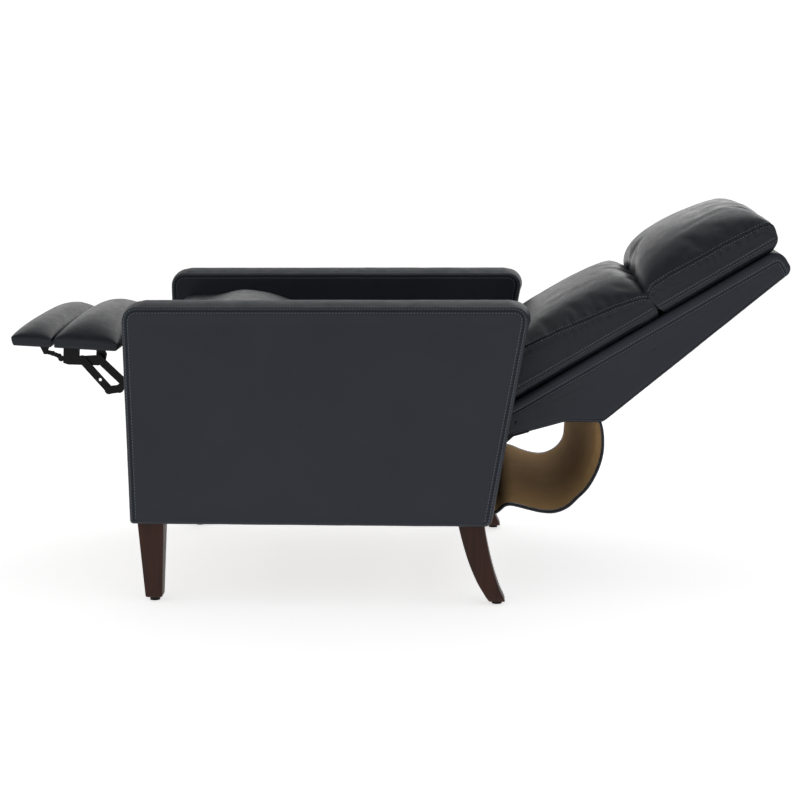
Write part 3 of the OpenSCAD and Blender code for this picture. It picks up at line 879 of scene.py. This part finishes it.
# footrest pads
FOOT = [(2, 0.2), (60, 0.2), (100, 0.2), (138, 0.2), (140.5, 6), (141, 16), (135, 32), (118, 50), (92, 62),
        (64, 65), (36, 58), (13, 41), (1.6, 25), (1.2, 10)]
FOOT_SEAM = interp_fn([(0, 20), (20, 25), (62, 26), (120, 24), (141, 16)])
FLIP = [(-85, 0.2), (-55, 0.2), (-25, 0.2), (-2, 0.2), (-1.2, 10), (-1.6, 25), (-12, 38), (-28, 46.5),
        (-45, 48.5), (-64, 44), (-80, 36), (-90, 27), (-92, 15), (-89, 4)]
FLIP_SEAM = interp_fn([(-92, 18), (-75, 22), (-40, 24), (-15, 22), (0, 18)])


def foot_height(p):
    """Height in metres of points p above the underside of the open footrest."""
    return (p - np.array([0, *FOOT_O])) @ np.array([0, -math.sin(FOOT_A), math.cos(FOOT_A)])


def foot(name, ctrl, nodes, body, seed, seam):
    """A footrest pad, leather above and with dust cloth under it."""
    prof = spline_closed(ctrl, 5.5, (0, 3))
    ob, v, _, _ = cushion_mesh(name, prof, seam, FOOT_HALF, to_foot, [M_LEATHER, M_BOARD],
                               7.0, 2.6, end_in=2.5)
    at_end = np.abs(v[:, 0]) > 255.4
    low = v[:, 2] < 8
    pin = np.where(low, 1.0, np.where(at_end, 0.5, 0.0))
    caps = np.where(low, 0.0, np.where(at_end, 1.2, 3.2))
    simulate(ob, pin, caps, 1.6, 0.0, 16)
    subdivide(ob)
    height = foot_height(coords(ob)) * 1000
    relief(ob, None, 0.35, 7.0, seed, keep=lambda q: np.clip(foot_height(q) / 0.012, 0, 1))
    idx = [1 if max(height[i] for i in f.vertices) < 1.2 else 0 for f in ob.data.polygons]
    ob.data.polygons.foreach_set("material_index", np.array(idx, np.int32))
    upholster(ob, body, nodes)


foot("foot_pad_leather", FOOT, ("foot_pad", "foot_board"), "footrest", 53, FOOT_SEAM)
foot("flip_pad_leather", FLIP, ("flip_pad", "flip_board"), "flip", 59, FLIP_SEAM)

# ------------------------------------------------------------------ hanging flap
# side curves (y, z) from the shell's hem down and forward to the base, on the chair's left and right
FLAP_NEAR = [(436.5, 378), (441, 362), (443.5, 340), (443, 312), (437, 284), (426, 257), (411, 232),
             (391, 211), (370, 191), (343, 180), (316, 180.5), (290, 186), (265, 192.5), (249, 195.5),
             (237, 193.5), (228, 186), (219, 178.5), (209, 174.5)]
FLAP_FAR = [(404, 378), (401, 350), (396, 318), (390, 284), (386.5, 246), (372, 221), (349, 206),
            (327, 201.5), (306.5, 204), (282.5, 211), (258, 221), (243, 222), (230, 212), (220, 195),
            (210, 178)]


def flap():
    """One hung sheet, n points along by mx across: dark leather outside, tan lining inside."""
    n, mx, W, half = 72, 96, FLAP_HALF, 2.6
    border = 10.0
    near, l_near = open_spline(FLAP_NEAR, n)
    far, l_far = open_spline(FLAP_FAR, n)
    xs = np.linspace(-W, W, mx)
    tau = (1 - xs / W) / 2
    lip = np.clip(tau / 0.12, 0, 1)
    w = 0.34 * lip * lip * (3 - 2 * lip) * 0.6 + (1 - 0.204) * np.clip((tau - 0.06) / 0.94, 0, 1) ** 1.05
    u = np.linspace(0, 1, n)
    mid = near[:, None, :] * (1 - w)[None, :, None] + far[:, None, :] * w[None, :, None]
    P3 = np.concatenate([np.broadcast_to(xs[None, :, None], (n, mx, 1)), mid], -1)
    env = np.sin(np.pi * np.clip(u, 0, 1))[:, None] ** 0.8
    bumps = smooth_noise(P3.reshape(-1, 3) * MM, 2.6, 67).reshape(n, mx) * 1.8 * env
    du = np.gradient(P3, axis=0)
    dx = np.gradient(P3, axis=1)
    nr = np.cross(dx, du)
    nr /= np.linalg.norm(nr, axis=2)[..., None]
    if nr[n // 2, mx // 2, 2] < 0:
        nr = -nr  # side 0 faces the inside of the loop
    V = np.stack([P3 + nr * (bumps + half)[..., None], P3 + nr * (bumps - half)[..., None]])
    verts = V.reshape(-1, 3) * MM

    def ix(k, i, j):
        return k * n * mx + i * mx + j

    faces, slots = [], []
    for i in range(n - 1):
        for j in range(mx - 1):
            edge = xs[j + 1] > W - border or xs[j] < -W + border or i < 1
            faces.append((ix(0, i, j), ix(0, i + 1, j), ix(0, i + 1, j + 1), ix(0, i, j + 1)))
            slots.append(0 if edge else 1)
            faces.append((ix(1, i, j), ix(1, i, j + 1), ix(1, i + 1, j + 1), ix(1, i + 1, j)))
            slots.append(0)
    for i in range(n - 1):
        faces += [(ix(0, i, 0), ix(1, i, 0), ix(1, i + 1, 0), ix(0, i + 1, 0)),
                  (ix(0, i, mx - 1), ix(0, i + 1, mx - 1), ix(1, i + 1, mx - 1), ix(1, i, mx - 1))]
    for j in range(mx - 1):
        faces += [(ix(0, 0, j), ix(0, 0, j + 1), ix(1, 0, j + 1), ix(1, 0, j)),
                  (ix(0, n - 1, j), ix(1, n - 1, j), ix(1, n - 1, j + 1), ix(0, n - 1, j + 1))]
    slots += [0] * (len(faces) - len(slots))
    ob = make("drop_flap_leather", verts, faces, [M_LEATHER, M_LINING], slots)
    fix_normals(ob)
    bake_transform(ob)
    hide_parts("drop_flap")


flap()


# ------------------------------------------------------------------ legs
def leg(name, rings, node):
    """A walnut leg skinned over its rings (metres), closed at both ends."""
    m, n = len(rings[0]), len(rings)
    faces = quads(n, m)
    faces.append(tuple(range(m)))
    faces.append(tuple((n - 1) * m + i for i in range(m - 1, -1, -1)))
    ob = make(name, np.vstack(rings), faces, [M_WALNUT])
    fix_normals(ob)
    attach(ob, "base")
    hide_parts(node)


def rounded_rect(cx, cy, hx, hy, r, z, k=5):
    """Level rectangle about (cx, cy) at height z, with half sides hx, hy and corner radius r."""
    out = []
    for qx, qy, a0 in ((1, 1, 0), (-1, 1, 90), (-1, -1, 180), (1, -1, 270)):
        for i in range(k + 1):
            a = math.radians(a0 + 90 * i / k)
            out.append((cx + qx * (hx - r) + r * math.cos(a), cy + qy * (hy - r) + r * math.sin(a), z))
    return np.array(out) * MM


def front_leg(side_name, sx):
    """Square taper. eased gives how far the edge is rounded in at the heights near both ends."""
    top, bottom, middle_y = 179.7, 8.3, -509.5
    eased = {179.4: 1.2, 178.4: 0.4, 10.5: 0.2, 9.2: 0.9, 8.4: 2.0}
    rings = []
    for z in (179.4, 178.4, 176, 150, 120, 90, 60, 35, 15, 10.5, 9.2, 8.4):
        t = np.clip((z - bottom) / (top - bottom), 0, 1)
        half = 18 + 10 * t - eased.get(z, 0)
        rings.append(rounded_rect(sx * LEG_X, middle_y - 2 * t, half, half, 3.2, z))
    leg("front_leg_" + side_name, rings, "leg_front_" + side_name)


# front and rear edge curves (y, z) of the sabre leg, upper end first
SABRE_FRONT = [(135.5, 179.5), (143, 148), (153, 112), (164, 80), (178, 48), (190, 27), (201.5, 8.4)]
SABRE_REAR = [(190.5, 179.5), (196, 145), (204.5, 104), (214.5, 66), (226, 32), (232, 19), (237.5, 8.4)]


def rear_leg(side_name, sx):
    a, b = (open_spline(curve, 22, 8)[0] for curve in (SABRE_FRONT, SABRE_REAR))
    rings = []
    for k in range(len(a)):
        c, h = (a[k] + b[k]) / 2, (b[k] - a[k]) / 2
        e = 1.0 if k in (0, len(a) - 1) else 0.0
        hl = np.linalg.norm(h)
        q = rounded_rect(0, 0, 24 - e, hl - e, 4.0, 0) / MM
        y, z = (c[n] + q[:, 1] * h[n] / hl for n in range(2))
        rings.append(np.column_stack([sx * LEG_X + q[:, 0], y, z]) * MM)
    leg("rear_leg_" + side_name, rings, "leg_rear_" + side_name)


for make_leg in (front_leg, rear_leg):
    make_leg("left", 1)
    make_leg("right", -1)

# ------------------------------------------------------------------ kept CAD nodes
KEEP = {
    M_PLY: ("arm_frame_", "rail_front", "rail_rear", "seat_rail_", "back_post_", "back_rail_"),
    M_BOARD: ("rear_board",),
    M_ZINC: ("leg_bolts", "pivot_pins", "link_pins"),
    M_SPRING: ("seat_springs",),
    M_DECK: ("seat_deck",),
    M_BLACK: ("leg_glides", "base_tube", "base_plate_", "seat_plate_", "back_bracket_", "long_link_",
              "fold_tube", "cross_link_", "guide_link_", "knee_link_", "foot_bracket_", "flip_hinge",
              "flip_crank_", "flip_link_"),
}
for node_name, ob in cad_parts.items():
    mat = next((m for m, names in KEEP.items() if any(node_name.startswith(n) for n in names)), M_LEATHER)
    if len(ob.material_slots) == 0:
        ob.data.materials.append(mat)
    for sl in ob.material_slots:
        sl.material = mat


# ------------------------------------------------------------------ stage
WORLD_STRENGTH = 1.15
SIDE_GREY = 0.42
FLOOR_GLOW = 0.672
FLOOR_REACH = 40
SOFTBOXES = [("top_soft", (-0.5, 0.1, 2.9), (1.5, 3.0)), ("rear_soft", (-2.6, 1.2, 1.6), (1.6, 1.6))]
SOFTBOX_WATTS = 5
LIT_SPOT = Vector((0, -0.05, 0.45))


def floor():
    m, nt, b = new_mat("floor", (0.86, 0.86, 0.86), 0.9, 0, 0.0)
    b.inputs["Emission Color"].default_value = (1, 1, 1, 1)
    b.inputs["Emission Strength"].default_value = FLOOR_GLOW
    n = noise(nt, nt.nodes.new("ShaderNodeTexCoord").outputs["Object"], 3.0)
    c = ramp(nt, n.outputs["Fac"], [(0.3, (0.86, 0.86, 0.86)), (0.7, (0.88, 0.88, 0.88))])
    nt.links.new(c.outputs["Color"], b.inputs["Base Color"])
    e = FLOOR_REACH
    make("studio_floor", [(e, -e, 0), (e, e, 0), (-e, -e, 0), (-e, e, 0)], [(0, 1, 3, 2)], m)


def studio_world():
    """Grey all round, white behind the chair as the photo's camera sees it."""
    SCENE.world = SCENE.world or bpy.data.worlds.new("studio")
    SCENE.world.use_nodes = True
    wt = SCENE.world.node_tree
    bg = wt.nodes["Background"]
    bg.inputs["Strength"].default_value = WORLD_STRENGTH
    sep = wt.nodes.new("ShaderNodeSeparateXYZ")
    wt.links.new(wt.nodes.new("ShaderNodeTexCoord").outputs["Generated"], sep.inputs["Vector"])
    stops = [(0.0, (1, 1, 1)), (0.022, (1, 1, 1)), (0.085, (SIDE_GREY,) * 3), (1.0, (SIDE_GREY * 0.8,) * 3)]
    cr = ramp(wt, rescale(wt, sep.outputs["X"], 0.0, 1.0, -1.0, 1.0), stops)
    wt.links.new(cr.outputs["Color"], bg.inputs["Color"])


def softboxes():
    for name, place, (across, along) in SOFTBOXES:
        light = bpy.data.lights.new(name, "AREA")
        light.shape = "RECTANGLE"
        light.size = across
        light.size_y = along
        light.energy = SOFTBOX_WATTS
        ob = bpy.data.objects.new(name, light)
        ob.location = place
        ob.rotation_euler = (LIT_SPOT - Vector(place)).to_track_quat("-Z", "Y").to_euler()
        COLL.objects.link(ob)


def camera():
    cam = bpy.data.cameras.new("camera")
    cam.lens = 82.8
    cam.sensor_width = 36
    cam.clip_end = 100
    ob = bpy.data.objects.new("camera", cam)
    ob.location = (4.1084, 0.1575, 1.109)
    ob.rotation_euler = Vector((-0.98377, -0.03737, -0.17549)).to_track_quat("-Z", "Y").to_euler()
    COLL.objects.link(ob)
    SCENE.camera = ob
    SCENE.view_settings.view_transform = "Standard"


floor()
studio_world()
softboxes()
camera()
